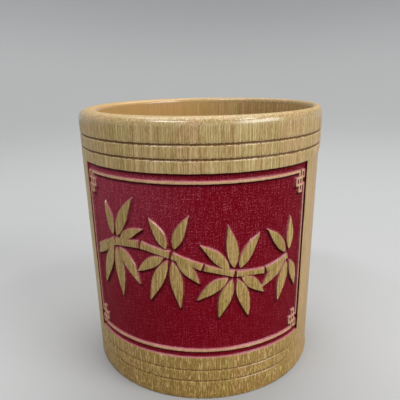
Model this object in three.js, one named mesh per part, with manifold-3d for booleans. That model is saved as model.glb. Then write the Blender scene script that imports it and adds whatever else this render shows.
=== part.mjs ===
// Turned bamboo brush pot with a carved front panel whose ground is lacquered red.
// Millimetres, +Z up. The origin is the centre of the foot and the panel faces -Y.
//
// culm_wall            the turned length of bamboo: foot, grooves, rim, recess and its raised carving
// base_disc            the round floor board, glued into a rebate at the foot
// red_lacquer_field    the coat on the sunk ground inside the border line
// red_lacquer_margin   the coat on the sunk ground between the border line and the panel's edge

import * as THREE from 'three';
import { mergeVertices } from 'three/addons/utils/BufferGeometryUtils.js';
import Module from 'manifold-3d';

const wasm = await Module();
wasm.setup();

// ---------------------------------------------------------------- driving dimensions

const HEIGHT = 107.5;
const FOOT_RADIUS = 48.3;
const TOP_RADIUS = 50;
const WALL = 5.5; // mean thickness of the culm wall
const BORE_OFFSET = 2; // the natural bore sits off centre, so one side is thicker
const BORE_HEADING = THREE.MathUtils.degToRad(95); // towards the thin side, from -Y towards +X
const SECTORS = 64;

const FOOT_CHAMFER = 0.5;
const RIM_OUTER_HEIGHT = 3.3; // how far down the rounded rim starts, outside
const RIM_INNER_HEIGHT = 1.8; // and inside
const RIM_OUTER_SHARE = 0.55; // share of the wall that the outer rounding takes
const RIM_INNER_SHARE = 0.35;
const RIM_STEPS = 4;

const GROOVES = [
  { z: 8, halfWidth: 0.5, depth: 0.5 },
  { z: 12.8, halfWidth: 0.5, depth: 0.5 },
  { z: 93.6, halfWidth: 0.7, depth: 0.7 },
  { z: 98.6, halfWidth: 0.7, depth: 0.7 },
];

const FIT_GAP = 0.3;
const REBATE_RADIUS = 45.3;
const REBATE_DEPTH = 6.5;
const DISC_THICKNESS = 5.4;
const DISC_CHAMFER = 0.4;

const PANEL_HALF_ANGLE = THREE.MathUtils.degToRad(57);
const PANEL_BOTTOM = 18.4;
const PANEL_TOP = 89;
const GROUND_DEPTH = 0.8; // from the wall's skin down to the lacquer
const LACQUER_THICKNESS = 0.25;
const PANEL_STEPS = 22;

const LINE_WIDTH = 1.1; // border line
const SIDE_INSET = 2.2; // panel edge to the middle of the border line, at the sides
const END_INSET = 3.1; // the same at the top and bottom
const KNOT_STEP_ACROSS = 1.65; // spacing of the strands in a corner knot
const KNOT_STEP_UP = 2.55;

// ---------------------------------------------------------------- worked-out values

const PANEL_MIDDLE = (PANEL_BOTTOM + PANEL_TOP) / 2;
const PANEL_RADIUS = wallRadius(PANEL_MIDDLE);
const PANEL_HALF_WIDTH = PANEL_HALF_ANGLE * PANEL_RADIUS;
const PANEL_HALF_HEIGHT = (PANEL_TOP - PANEL_BOTTOM) / 2;
const RECESS_DEPTH = GROUND_DEPTH + LACQUER_THICKNESS + FIT_GAP;
const CUT_CLEARANCE = 1.5; // how far a cutter stands out of the skin or past the ground

// ---------------------------------------------------------------- helpers

function wallRadius(z) {
  return FOOT_RADIUS + ((TOP_RADIUS - FOOT_RADIUS) * z) / HEIGHT;
}

// Distance from the pot's axis to the off-centre bore, along a heading.
function boreRadius(heading, z) {
  const radius = wallRadius(z) - WALL;
  const turn = heading - BORE_HEADING;
  const along = BORE_OFFSET * Math.cos(turn);
  const across = BORE_OFFSET * Math.sin(turn);
  return along + Math.sqrt(radius * radius - across * across);
}

function toManifold(geometry) {
  const bare = geometry.clone();
  bare.deleteAttribute('normal');
  bare.deleteAttribute('uv');
  const merged = mergeVertices(bare, 1e-5);
  const mesh = new wasm.Mesh({
    numProp: 3,
    vertProperties: new Float32Array(merged.attributes.position.array),
    triVerts: new Uint32Array(merged.index.array),
  });
  return new wasm.Manifold(mesh);
}

function toGeometry(manifold) {
  const mesh = manifold.getMesh();
  const geometry = new THREE.BufferGeometry();
  geometry.setAttribute('position', new THREE.BufferAttribute(mesh.vertProperties, 3));
  geometry.setIndex(new THREE.BufferAttribute(mesh.triVerts, 1));
  geometry.computeVertexNormals();
  return geometry;
}

function joinAll(solids) {
  return solids.reduce((joined, solid) => joined.add(solid));
}

// A closed ring swept round the axis; profileAt(heading) lists [radius, z] anticlockwise.
function sweepRing(profileAt) {
  const positions = [];
  const indices = [];
  const count = profileAt(0).length;
  for (let s = 0; s < SECTORS; s++) {
    const heading = (2 * Math.PI * s) / SECTORS;
    for (const [radius, z] of profileAt(heading)) {
      positions.push(radius * Math.sin(heading), -radius * Math.cos(heading), z);
    }
  }
  for (let s = 0; s < SECTORS; s++) {
    const here = s * count;
    const next = ((s + 1) % SECTORS) * count;
    for (let p = 0; p < count; p++) {
      const q = (p + 1) % count;
      indices.push(here + p, next + p, next + q);
      indices.push(here + p, next + q, here + q);
    }
  }
  const geometry = new THREE.BufferGeometry();
  geometry.setAttribute('position', new THREE.Float32BufferAttribute(positions, 3));
  geometry.setIndex(indices);
  return geometry;
}

// Wraps a flat solid round the wall. x runs across the panel from its middle, y up from it,
// and z outward from the wall's skin.
function wrap(geometry) {
  const position = geometry.attributes.position;
  for (let i = 0; i < position.count; i++) {
    const height = PANEL_MIDDLE + position.getY(i);
    const radius = wallRadius(height) + position.getZ(i);
    const heading = position.getX(i) / PANEL_RADIUS;
    position.setXYZ(i, radius * Math.sin(heading), -radius * Math.cos(heading), height);
  }
  return toManifold(geometry);
}

// A block on the panel between two corners, from depth low to depth high below or above the skin.
function panelBlock(x0, x1, y0, y1, low, high) {
  const steps = Math.max(1, Math.round(((x1 - x0) / (2 * PANEL_HALF_WIDTH)) * PANEL_STEPS));
  const block = new THREE.BoxGeometry(x1 - x0, y1 - y0, high - low, steps, 1, 1);
  block.translate((x0 + x1) / 2, (y0 + y1) / 2, (low + high) / 2);
  return wrap(block);
}

// An outline on the panel, as tall as the recess is deep and a little more.
function raisedOutline(points) {
  const depth = RECESS_DEPTH + 2 * CUT_CLEARANCE;
  const shape = new THREE.Shape(points);
  const block = new THREE.ExtrudeGeometry(shape, { depth, bevelEnabled: false });
  block.translate(0, 0, -RECESS_DEPTH - CUT_CLEARANCE);
  return wrap(block);
}

// ---------------------------------------------------------------- carving: border and knots

// A bar of the border line between two points in line with x or y.
function borderBar(from, to, grow) {
  const half = LINE_WIDTH / 2 + grow;
  return panelBlock(
    Math.min(from.x, to.x) - half,
    Math.max(from.x, to.x) + half,
    Math.min(from.y, to.y) - half,
    Math.max(from.y, to.y) + half,
    -RECESS_DEPTH - CUT_CLEARANCE,
    CUT_CLEARANCE,
  );
}

// One strand runs through each corner and crosses itself there. Columns count inward from the
// side and rows inward from the end; the strand comes in along row 0 and leaves along column 0.
const KNOT_ROUTE = [
  [2, 0],
  [2, 3],
  [1, 3],
  [1, 0],
  [0, 0],
  [0, 1],
  [3, 1],
  [3, 2],
  [0, 2],
];

function borderLine(grow) {
  const outX = PANEL_HALF_WIDTH - SIDE_INSET;
  const outY = PANEL_HALF_HEIGHT - END_INSET;
  const inX = outX - 2 * KNOT_STEP_ACROSS;
  const inY = outY - 2 * KNOT_STEP_UP;
  const bars = [];
  for (const side of [-1, 1]) {
    bars.push(
      borderBar(new THREE.Vector2(-inX, side * outY), new THREE.Vector2(inX, side * outY), grow),
      borderBar(new THREE.Vector2(side * outX, -inY), new THREE.Vector2(side * outX, inY), grow),
    );
    for (const end of [-1, 1]) {
      const points = KNOT_ROUTE.map(
        ([column, row]) =>
          new THREE.Vector2(
            side * (outX - column * KNOT_STEP_ACROSS),
            end * (outY - row * KNOT_STEP_UP),
          ),
      );
      for (let i = 1; i < points.length; i++) {
        bars.push(borderBar(points[i - 1], points[i], grow));
      }
    }
  }
  return joinAll(bars);
}

// ---------------------------------------------------------------- carving: bamboo sprig

const CANE_JOINTS = [
  [-43.5, 2],
  [-31.5, 7.6],
  [-19.5, 8.6],
  [-7.5, 6],
  [4, 1.6],
  [15.5, -1.6],
  [27.5, -2.2],
  [39, 0.8],
];
const CANE_WIDTH = 2.7;
const CANE_TAPER = 0.17; // each length of cane is this much thinner than the last
const CANE_GAP = 0.4; // half the gap at each joint of the cane
const CANE_FLARE = 1.2; // how much wider a length of cane is at its ends
const LEAF_REACH = [3.2, 2.5]; // where a leaf starts, across and up from its joint of the cane

// Leaves at a joint of the cane: direction and bend in degrees, length and width.
const LEAF_SPRAYS = [
  {
    joint: 1,
    leaves: [
      { direction: 62, bend: -22, length: 18, width: 4.4 },
      { direction: 106, bend: 16, length: 13, width: 3.6 },
      { direction: 28, bend: -24, length: 12, width: 3.4 },
      { direction: -146, bend: 20, length: 13, width: 4 },
      { direction: -113, bend: 12, length: 19, width: 4.6 },
      { direction: -84, bend: -8, length: 19.5, width: 4.7 },
      { direction: -54, bend: -18, length: 16, width: 4.3 },
    ],
  },
  {
    joint: 3,
    leaves: [
      { direction: 120, bend: 18, length: 12.5, width: 3.6 },
      { direction: 66, bend: -18, length: 13.5, width: 3.8 },
      { direction: -148, bend: 20, length: 13, width: 3.8 },
      { direction: -114, bend: 10, length: 18, width: 4.4 },
      { direction: -82, bend: -8, length: 18.5, width: 4.4 },
      { direction: -48, bend: -18, length: 12, width: 3.8 },
    ],
  },
  {
    joint: 5,
    leaves: [
      { direction: 136, bend: 20, length: 14, width: 3.9 },
      { direction: 98, bend: 8, length: 16, width: 4.2 },
      { direction: 58, bend: -18, length: 14.5, width: 4 },
      { direction: -144, bend: 18, length: 14, width: 4.1 },
      { direction: -109, bend: 8, length: 15.5, width: 4.5 },
      { direction: -74, bend: -12, length: 16, width: 4.5 },
      { direction: -40, bend: -20, length: 12, width: 3.9 },
    ],
  },
  {
    joint: 7,
    leaves: [
      { direction: 130, bend: 20, length: 14, width: 3.8 },
      { direction: 90, bend: 8, length: 13, width: 3.6 },
      { direction: -142, bend: 18, length: 13, width: 4 },
      { direction: -106, bend: 8, length: 15.5, width: 4.3 },
      { direction: -72, bend: -14, length: 12, width: 3.7 },
    ],
  },
];
const LEAF_STEPS = 6;
const LEAF_FULLNESS = 0.78; // below 1 the leaf is widest nearer its stalk

// A pointed leaf along a bending midrib.
function leafOutline(joint, leaf, grow) {
  const direction = THREE.MathUtils.degToRad(leaf.direction);
  const bend = THREE.MathUtils.degToRad(leaf.bend);
  const start = new THREE.Vector2(
    joint[0] + LEAF_REACH[0] * Math.cos(direction),
    joint[1] + LEAF_REACH[1] * Math.sin(direction),
  );
  const rib = [start];
  const step = leaf.length / LEAF_STEPS;
  for (let i = 0; i < LEAF_STEPS; i++) {
    const heading = direction + bend * ((i + 0.5) / LEAF_STEPS - 0.5);
    const last = rib[i];
    rib.push(new THREE.Vector2(last.x + step * Math.cos(heading), last.y + step * Math.sin(heading)));
  }
  const left = [];
  const right = [];
  rib.forEach((point, i) => {
    const along = i / LEAF_STEPS;
    const half = (leaf.width / 2) * Math.sin(Math.PI * along ** LEAF_FULLNESS);
    const heading = direction + bend * (along - 0.5);
    const across = new THREE.Vector2(-Math.sin(heading), Math.cos(heading));
    const ahead = new THREE.Vector2(Math.cos(heading), Math.sin(heading));
    const isTip = i === 0 || i === LEAF_STEPS;
    if (isTip) {
      left.push(point.clone().addScaledVector(ahead, i === 0 ? -grow : grow));
    } else {
      left.push(point.clone().addScaledVector(across, -half - grow));
      right.push(point.clone().addScaledVector(across, half + grow));
    }
  });
  return left.concat(right.reverse());
}

// One length of cane between two joints, flared a little at both ends.
function caneOutline(from, to, width, grow) {
  const start = new THREE.Vector2(...from);
  const ahead = new THREE.Vector2(...to).sub(start);
  const length = ahead.length();
  ahead.normalize();
  const across = new THREE.Vector2(-ahead.y, ahead.x);
  const gap = CANE_GAP - grow;
  const stations = [
    [gap, CANE_FLARE * width],
    [length * 0.25, width],
    [length * 0.75, width],
    [length - gap, CANE_FLARE * width],
  ];
  const left = [];
  const right = [];
  for (const [along, wide] of stations) {
    const middle = start.clone().addScaledVector(ahead, along);
    left.push(middle.clone().addScaledVector(across, -wide / 2 - grow));
    right.push(middle.clone().addScaledVector(across, wide / 2 + grow));
  }
  return left.concat(right.reverse());
}

function sprig(grow) {
  const pieces = [];
  for (let i = 1; i < CANE_JOINTS.length; i++) {
    const width = CANE_WIDTH - CANE_TAPER * (i - 1);
    pieces.push(raisedOutline(caneOutline(CANE_JOINTS[i - 1], CANE_JOINTS[i], width, grow)));
  }
  for (const { joint, leaves } of LEAF_SPRAYS) {
    for (const leaf of leaves) {
      pieces.push(raisedOutline(leafOutline(CANE_JOINTS[joint], leaf, grow)));
    }
  }
  return joinAll(pieces);
}

// ---------------------------------------------------------------- sub-parts

// Outline of the wall's section on one heading, from the foot up the outside, over the rim,
// down the bore and round the rebate for the floor board.
function wallSection(heading) {
  const section = [
    [wallRadius(0) - FOOT_CHAMFER, 0],
    [wallRadius(FOOT_CHAMFER), FOOT_CHAMFER],
  ];
  for (const { z, halfWidth, depth } of GROOVES) {
    section.push(
      [wallRadius(z - halfWidth), z - halfWidth],
      [wallRadius(z) - depth, z],
      [wallRadius(z + halfWidth), z + halfWidth],
    );
  }
  const rimOuter = HEIGHT - RIM_OUTER_HEIGHT;
  const rimInner = HEIGHT - RIM_INNER_HEIGHT;
  const outside = wallRadius(rimOuter);
  const inside = boreRadius(heading, rimInner);
  const outerShare = RIM_OUTER_SHARE * (outside - inside);
  const innerShare = RIM_INNER_SHARE * (outside - inside);
  for (let i = 0; i <= RIM_STEPS; i++) {
    const turn = (Math.PI / 2) * (i / RIM_STEPS);
    section.push([
      outside - outerShare * (1 - Math.cos(turn)),
      rimOuter + RIM_OUTER_HEIGHT * Math.sin(turn),
    ]);
  }
  for (let i = 0; i <= RIM_STEPS; i++) {
    const turn = (Math.PI / 2) * (i / RIM_STEPS);
    section.push([
      inside + innerShare * (1 - Math.sin(turn)),
      rimInner + RIM_INNER_HEIGHT * Math.cos(turn),
    ]);
  }
  section.push(
    [boreRadius(heading, REBATE_DEPTH), REBATE_DEPTH],
    [REBATE_RADIUS, REBATE_DEPTH],
    [REBATE_RADIUS, 0],
  );
  return section;
}

function culmWall() {
  const recess = panelBlock(
    -PANEL_HALF_WIDTH,
    PANEL_HALF_WIDTH,
    -PANEL_HALF_HEIGHT,
    PANEL_HALF_HEIGHT,
    -RECESS_DEPTH,
    CUT_CLEARANCE,
  );
  const carving = borderLine(0).add(sprig(0));
  const wall = toManifold(sweepRing(wallSection));
  return toGeometry(wall.subtract(recess.subtract(carving)));
}

// The coat on the ground, cut back from the raised carving and from the recess's edges.
function lacquer() {
  const coat = panelBlock(
    -PANEL_HALF_WIDTH + FIT_GAP,
    PANEL_HALF_WIDTH - FIT_GAP,
    -PANEL_HALF_HEIGHT + FIT_GAP,
    PANEL_HALF_HEIGHT - FIT_GAP,
    -GROUND_DEPTH - LACQUER_THICKNESS,
    -GROUND_DEPTH,
  );
  const patches = coat.subtract(borderLine(FIT_GAP)).subtract(sprig(FIT_GAP)).decompose();
  return patches.sort((a, b) => b.volume() - a.volume()).map(toGeometry);
}

function baseDisc() {
  const radius = REBATE_RADIUS - FIT_GAP;
  const top = REBATE_DEPTH - FIT_GAP;
  const bottom = top - DISC_THICKNESS;
  const section = [
    new THREE.Vector2(0, bottom),
    new THREE.Vector2(radius - DISC_CHAMFER, bottom),
    new THREE.Vector2(radius, bottom + DISC_CHAMFER),
    new THREE.Vector2(radius, top),
    new THREE.Vector2(0, top),
  ];
  const disc = new THREE.LatheGeometry(section, SECTORS);
  disc.rotateX(Math.PI / 2);
  return disc;
}

// ---------------------------------------------------------------- scene

const bamboo = new THREE.MeshStandardMaterial({ color: '#a98a56', roughness: 0.4, metalness: 0 });
const board = new THREE.MeshStandardMaterial({ color: '#b39a68', roughness: 0.6, metalness: 0 });
const redLacquer = new THREE.MeshStandardMaterial({ color: '#6e1524', roughness: 0.5, metalness: 0 });

function named(name, geometry, material) {
  const mesh = new THREE.Mesh(geometry, material);
  mesh.name = name;
  return mesh;
}

const [fieldCoat, marginCoat] = lacquer();

const pot = new THREE.Group();
pot.add(
  named('culm_wall', culmWall(), bamboo),
  named('base_disc', baseDisc(), board),
  named('red_lacquer_field', fieldCoat, redLacquer),
  named('red_lacquer_margin', marginCoat, redLacquer),
);

export default pot;
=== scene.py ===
"""Looks of a turned bamboo brush pot with a carved, red-lacquered panel.

Shapes are worked out in millimetres, in the frame of the part: +Z up, the panel facing -Y, and the
origin at the centre of the foot. They are scaled to metres when a mesh is made.
"""

import math

import bpy
import numpy as np
from mathutils import Matrix, Vector
from mathutils.geometry import delaunay_2d_cdt


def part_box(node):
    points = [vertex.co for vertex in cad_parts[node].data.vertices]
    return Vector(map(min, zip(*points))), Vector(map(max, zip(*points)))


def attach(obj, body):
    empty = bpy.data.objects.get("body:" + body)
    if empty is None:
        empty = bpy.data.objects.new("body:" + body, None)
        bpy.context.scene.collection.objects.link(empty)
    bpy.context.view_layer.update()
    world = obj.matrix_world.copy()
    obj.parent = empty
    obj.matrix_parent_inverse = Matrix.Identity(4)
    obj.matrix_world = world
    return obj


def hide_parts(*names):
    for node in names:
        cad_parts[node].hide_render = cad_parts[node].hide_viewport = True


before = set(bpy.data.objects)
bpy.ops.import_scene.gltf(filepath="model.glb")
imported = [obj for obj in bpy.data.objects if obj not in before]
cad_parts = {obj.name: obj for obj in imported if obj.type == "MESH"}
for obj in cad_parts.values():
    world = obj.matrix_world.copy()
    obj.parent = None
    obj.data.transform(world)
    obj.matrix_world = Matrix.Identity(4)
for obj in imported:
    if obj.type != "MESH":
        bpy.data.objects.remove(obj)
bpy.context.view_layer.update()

MM = 0.001
SEED = 7

# ---------------------------------------------------------------- sizes, in millimetres

CULM_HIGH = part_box("culm_wall")[1] / MM
DISC_LOW, DISC_HIGH = (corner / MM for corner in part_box("base_disc"))
MARGIN_LOW, MARGIN_HIGH = (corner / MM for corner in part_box("red_lacquer_margin"))

HEIGHT = CULM_HIGH.z
FIT_GAP = 0.3
WALL = 5.5
FOOT_RADIUS = 48.3
RIM_OUTER_HEIGHT = 3.3
RIM_INNER_HEIGHT = 1.8
RIM_OUTER_SHARE = 0.55
RIM_INNER_SHARE = 0.35
TAPER = (CULM_HIGH.x - FOOT_RADIUS) / (HEIGHT - RIM_OUTER_HEIGHT)
BORE_OFFSET = 2.0
BORE_HEADING = math.radians(95)
FOOT_CHAMFER = 0.5
FOOT_ROUNDING = 0.3  # where the rounded chamfer's middle point lies, as a share of the chamfer
REBATE_RADIUS = DISC_HIGH.x + FIT_GAP
REBATE_DEPTH = DISC_HIGH.z + FIT_GAP

# Turned grooves, from the foot up: height, half width and depth.
GROOVES = [
    (8.0, 0.42, 0.32),
    (12.8, 0.42, 0.32),
    (93.6, 0.6, 0.5),
    (98.6, 0.6, 0.5),
]
DEEPEST_GROOVE = max(deepest for _, _, deepest in GROOVES)
GROOVE_ROUNDNESS = 0.7

PANEL_HALF_ANGLE = math.radians(57)
PANEL_BOTTOM = MARGIN_LOW.z - FIT_GAP
PANEL_TOP = MARGIN_HIGH.z + FIT_GAP
PANEL_MIDDLE = (PANEL_BOTTOM + PANEL_TOP) / 2
PANEL_RADIUS = FOOT_RADIUS + TAPER * PANEL_MIDDLE
PANEL_HALF_WIDTH = PANEL_HALF_ANGLE * PANEL_RADIUS
PANEL_HALF_HEIGHT = (PANEL_TOP - PANEL_BOTTOM) / 2
GROUND_DEPTH = 0.8

LINE_WIDTH = 0.85
KNOT_WIDTH = 0.7
SIDE_INSET = 2.2
END_INSET = 3.1
KNOT_STEP_ACROSS = 1.65
KNOT_STEP_UP = 2.55
# The interlaced line of a corner knot, in steps across and steps up from the border's corner.
KNOT_ROUTE = [(2, 0), (2, 3), (1, 3), (1, 0), (0, 0), (0, 1), (3, 1), (3, 2), (0, 2)]

# Joints of the cane, across the panel and up it from its middle.
CANE_JOINTS = [
    (-43.5, 2),
    (-31.5, 7.6),
    (-19.5, 8.6),
    (-7.5, 6),
    (4, 1.6),
    (15.5, -1.6),
    (27.5, -2.2),
    (39, 0.8),
]
CANE_WIDTH = 2.7
CANE_TAPER = 0.17
CANE_GAP = 0.5
CANE_FLARE = 1.2
LEAF_REACH = (3.2, 2.5)
LEAF_FULLNESS = 0.78
LEAF_STEPS = 16

# Leaves at a joint of the cane: direction and bend in degrees, length and width.
LEAF_SPRAYS = {
    1: [
        (62, -22, 18, 4.4),
        (106, 16, 13, 3.6),
        (28, -24, 12, 3.4),
        (-146, 20, 13, 4),
        (-113, 12, 19, 4.6),
        (-84, -8, 19.5, 4.7),
        (-54, -18, 16, 4.3),
    ],
    3: [
        (120, 18, 12.5, 3.6),
        (66, -18, 13.5, 3.8),
        (-148, 20, 13, 3.8),
        (-114, 10, 18, 4.4),
        (-82, -8, 18.5, 4.4),
        (-48, -18, 12, 3.8),
    ],
    5: [
        (136, 20, 14, 3.9),
        (98, 8, 16, 4.2),
        (58, -18, 14.5, 4),
        (-144, 18, 14, 4.1),
        (-109, 8, 15.5, 4.5),
        (-74, -12, 16, 4.5),
        (-40, -20, 12, 3.9),
    ],
    7: [
        (130, 20, 14, 3.8),
        (90, 8, 13, 3.6),
        (-142, 18, 13, 4),
        (-106, 8, 15.5, 4.3),
        (-72, -14, 12, 3.7),
    ],
}

# One side of the culm is slightly flat: the lathe only skims it.
FLAT_HEADING = math.radians(75)
FLAT_HALF_WIDTH = math.radians(30)
FLAT_DEPTH = 0.55
FLAT_TOP = 92.5
FLAT_RUN_OUT = 5.0

# ---------------------------------------------------------------- the wall's surfaces


def smooth_step(value):
    value = np.clip(value, 0, 1)
    return value * value * (3 - 2 * value)


def taper_radius(z):
    return FOOT_RADIUS + TAPER * z


def flat_depth(heading, z):
    turn = np.angle(np.exp(1j * (heading - FLAT_HEADING)))
    across = smooth_step(1 - np.abs(turn) / FLAT_HALF_WIDTH)
    return FLAT_DEPTH * across * smooth_step((FLAT_TOP - z) / FLAT_RUN_OUT)


def groove_depth(z):
    depth = np.zeros_like(z)
    for middle, half_width, deepest in GROOVES:
        across = np.clip(1 - np.abs(z - middle) / half_width, 0, 1)
        depth = np.maximum(depth, deepest * across**GROOVE_ROUNDNESS)
    return depth


def skin_radius(heading, z):
    """The turned outside. A groove is cut to its own radius, so it fades on the flat side."""
    return taper_radius(z) - np.maximum(flat_depth(heading, z), groove_depth(z))


def bore_radius(heading, z):
    """The bore from the pot's axis. Its own axis is a little to one side."""
    radius = taper_radius(z) - WALL
    turn = heading - BORE_HEADING
    return BORE_OFFSET * np.cos(turn) + np.sqrt(radius**2 - (BORE_OFFSET * np.sin(turn)) ** 2)


def around(heading, radius, z):
    """Points at a heading, which is 0 at the middle of the panel and grows towards +X."""
    return np.stack([radius * np.sin(heading), -radius * np.cos(heading), z], axis=-1)


# ---------------------------------------------------------------- the carving, as distances

CELL = 0.125
PATCH_MARGIN = 0.8  # the carved patch of the wall reaches this far past the panel
WINDOW_ROOM = 1.5
NOT_CARVED = -9.0

# The cut edges wander a little and are eased.
EDGE_WANDER = 0.03
EDGE_WANDER_LENGTH = 0.45
EDGE_EASE = 0.12


class Sheet:
    """A grid over the panel: x across it and y up it, both from its middle."""

    def __init__(self):
        half_x = PANEL_HALF_WIDTH + PATCH_MARGIN + 4 * CELL
        half_y = PANEL_HALF_HEIGHT + PATCH_MARGIN + 4 * CELL
        self.x = np.arange(-half_x, half_x + CELL, CELL)
        self.y = np.arange(-half_y, half_y + CELL, CELL)
        self.relief = np.full((len(self.x), len(self.y)), NOT_CARVED)

    def window(self, low, high):
        i = np.searchsorted(self.x, (low[0] - WINDOW_ROOM, high[0] + WINDOW_ROOM))
        j = np.searchsorted(self.y, (low[1] - WINDOW_ROOM, high[1] + WINDOW_ROOM))
        return slice(*i), slice(*j)

    def add_polygon(self, points):
        """Raises a closed outline: relief is the distance to its edge, positive inside."""
        points = np.asarray(points, float)
        rows, columns = self.window(points.min(0), points.max(0))
        x, y = np.meshgrid(self.x[rows], self.y[columns], indexing="ij")
        nearest = np.full(x.shape, np.inf)
        inside = np.zeros(x.shape, bool)
        for start, end in zip(points, np.roll(points, -1, axis=0)):
            edge = end - start
            along = ((x - start[0]) * edge[0] + (y - start[1]) * edge[1]) / edge.dot(edge)
            along = np.clip(along, 0, 1)
            gap = np.hypot(x - start[0] - along * edge[0], y - start[1] - along * edge[1])
            nearest = np.minimum(nearest, gap)
            crosses = (start[1] > y) != (end[1] > y)
            if edge[1]:
                crosses &= x < start[0] + (y - start[1]) * edge[0] / edge[1]
                inside ^= crosses
        signed = np.where(inside, nearest, -nearest)
        self.relief[rows, columns] = np.maximum(self.relief[rows, columns], signed)


def blur(values, sigma):
    """A grid of values evened out by a bell curve, whose sigma is in cells."""
    reach = int(3 * sigma) + 1
    kernel = np.exp(-0.5 * (np.arange(-reach, reach + 1) / sigma) ** 2)
    kernel /= kernel.sum()
    for axis in (0, 1):
        padded = np.pad(values, [(reach, reach) if a == axis else (0, 0) for a in (0, 1)], "edge")
        values = np.apply_along_axis(np.convolve, axis, padded, kernel, "valid")
    return values


def leaf_outline(joint, direction, bend, length, width):
    """A pointed leaf that starts a little way from its joint and bends evenly along its rib."""
    direction, bend = math.radians(direction), math.radians(bend)
    along = np.linspace(0, 1, LEAF_STEPS + 1)
    heading = direction + bend * (along - 0.5)
    middles = direction + bend * (along[1:] - 0.5 / LEAF_STEPS - 0.5)
    step = length / LEAF_STEPS
    x = joint[0] + LEAF_REACH[0] * math.cos(direction)
    y = joint[1] + LEAF_REACH[1] * math.sin(direction)
    x = x + np.concatenate([[0], np.cumsum(step * np.cos(middles))])
    y = y + np.concatenate([[0], np.cumsum(step * np.sin(middles))])
    half = width / 2 * np.sin(np.pi * along**LEAF_FULLNESS)
    across = np.stack([-np.sin(heading), np.cos(heading)], axis=1) * half[:, None]
    rib = np.stack([x, y], axis=1)
    return np.concatenate([(rib - across)[:-1], (rib + across)[:0:-1]])


def cane_outline(start, end, width):
    """One length of cane, a little wider at its ends, with a gap at each joint."""
    start, end = np.array(start, float), np.array(end, float)
    length = np.linalg.norm(end - start)
    ahead = (end - start) / length
    across = np.array([-ahead[1], ahead[0]])
    along = np.linspace(0, 1, 9)
    wide = width / 2 * (1 + (CANE_FLARE - 1) * (2 * along - 1) ** 4)
    middle = start + ahead * (CANE_GAP + along[:, None] * (length - 2 * CANE_GAP))
    return np.concatenate([middle - across * wide[:, None], (middle + across * wide[:, None])[::-1]])


def bar_outline(start, end, width):
    half = width / 2
    x0, x1 = sorted((start[0], end[0]))
    y0, y1 = sorted((start[1], end[1]))
    return [
        (x0 - half, y0 - half),
        (x1 + half, y0 - half),
        (x1 + half, y1 + half),
        (x0 - half, y1 + half),
    ]


def border_bars():
    """The four straight bars of the border, and the bars of its corner knots."""
    out_x = PANEL_HALF_WIDTH - SIDE_INSET
    out_y = PANEL_HALF_HEIGHT - END_INSET
    in_x = out_x - 2 * KNOT_STEP_ACROSS
    in_y = out_y - 2 * KNOT_STEP_UP
    for side in (-1, 1):
        yield bar_outline((-in_x, side * out_y), (in_x, side * out_y), LINE_WIDTH)
        yield bar_outline((side * out_x, -in_y), (side * out_x, in_y), LINE_WIDTH)
        for end in (-1, 1):
            route = [
                (side * (out_x - column * KNOT_STEP_ACROSS), end * (out_y - row * KNOT_STEP_UP))
                for column, row in KNOT_ROUTE
            ]
            for start, stop in zip(route, route[1:]):
                yield bar_outline(start, stop, KNOT_WIDTH)


def carve(sheet):
    """Distance from each grid point to the nearest carved edge: positive on the raised skin."""
    for bar in border_bars():
        sheet.add_polygon(bar)
    for i, (start, end) in enumerate(zip(CANE_JOINTS, CANE_JOINTS[1:])):
        sheet.add_polygon(cane_outline(start, end, CANE_WIDTH - CANE_TAPER * i))
    for joint, leaves in LEAF_SPRAYS.items():
        for leaf in leaves:
            sheet.add_polygon(leaf_outline(CANE_JOINTS[joint], *leaf))
    past_x = np.abs(sheet.x)[:, None] - PANEL_HALF_WIDTH
    past_y = np.abs(sheet.y)[None, :] - PANEL_HALF_HEIGHT
    outside = np.hypot(np.maximum(past_x, 0), np.maximum(past_y, 0))
    outside += np.minimum(np.maximum(past_x, past_y), 0)
    distance = np.maximum(sheet.relief, outside)
    wander = np.random.default_rng(SEED).normal(size=distance.shape)
    wander = blur(wander, EDGE_WANDER_LENGTH / CELL)
    distance += EDGE_WANDER * wander / wander.std()
    return blur(distance, EDGE_EASE / CELL)


# ---------------------------------------------------------------- level lines of the carving

# For each pattern of raised corners of a cell, the sides that a level line joins.
# Sides: 0 low y, 1 high x, 2 high y, 3 low x.
CELL_LINES = {
    1: [(3, 0)],
    2: [(0, 1)],
    3: [(3, 1)],
    4: [(1, 2)],
    5: [(3, 0), (1, 2)],
    6: [(0, 2)],
    7: [(3, 2)],
    8: [(2, 3)],
    9: [(2, 0)],
    10: [(0, 1), (2, 3)],
    11: [(2, 1)],
    12: [(1, 3)],
    13: [(1, 0)],
    14: [(0, 3)],
}


def level_loops(sheet, distance, level):
    """Closed loops where distance crosses the level.

    A cell's side goes by the number of its first grid point, plus size if it runs up the sheet."""
    above = distance - level + 1e-7
    raised = above > 0
    code = raised[:-1, :-1] + 2 * raised[1:, :-1] + 4 * raised[1:, 1:] + 8 * raised[:-1, 1:]
    size = above.shape[0] * above.shape[1]
    links = {}
    for i, j in zip(*np.nonzero((code > 0) & (code < 15))):
        sides = (
            i * above.shape[1] + j,
            size + (i + 1) * above.shape[1] + j,
            i * above.shape[1] + j + 1,
            size + i * above.shape[1] + j,
        )
        for first, second in CELL_LINES[int(code[i, j])]:
            links.setdefault(sides[first], []).append(sides[second])
            links.setdefault(sides[second], []).append(sides[first])

    def point(side):
        upright, side = divmod(side, size)
        i, j = divmod(side, above.shape[1])
        here = above[i, j]
        there = above[i, j + 1] if upright else above[i + 1, j]
        share = here / (here - there)
        x = sheet.x[i] if upright else sheet.x[i] + share * CELL
        y = sheet.y[j] + share * CELL if upright else sheet.y[j]
        return x, y

    loops = []
    left = set(links)
    while left:
        start = side = min(left)
        loop = []
        while side in left:
            left.discard(side)
            loop.append(point(side))
            nexts = [n for n in links[side] if n in left]
            side = nexts[0] if nexts else start
        loops.append(np.array(loop))
    return loops


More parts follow.
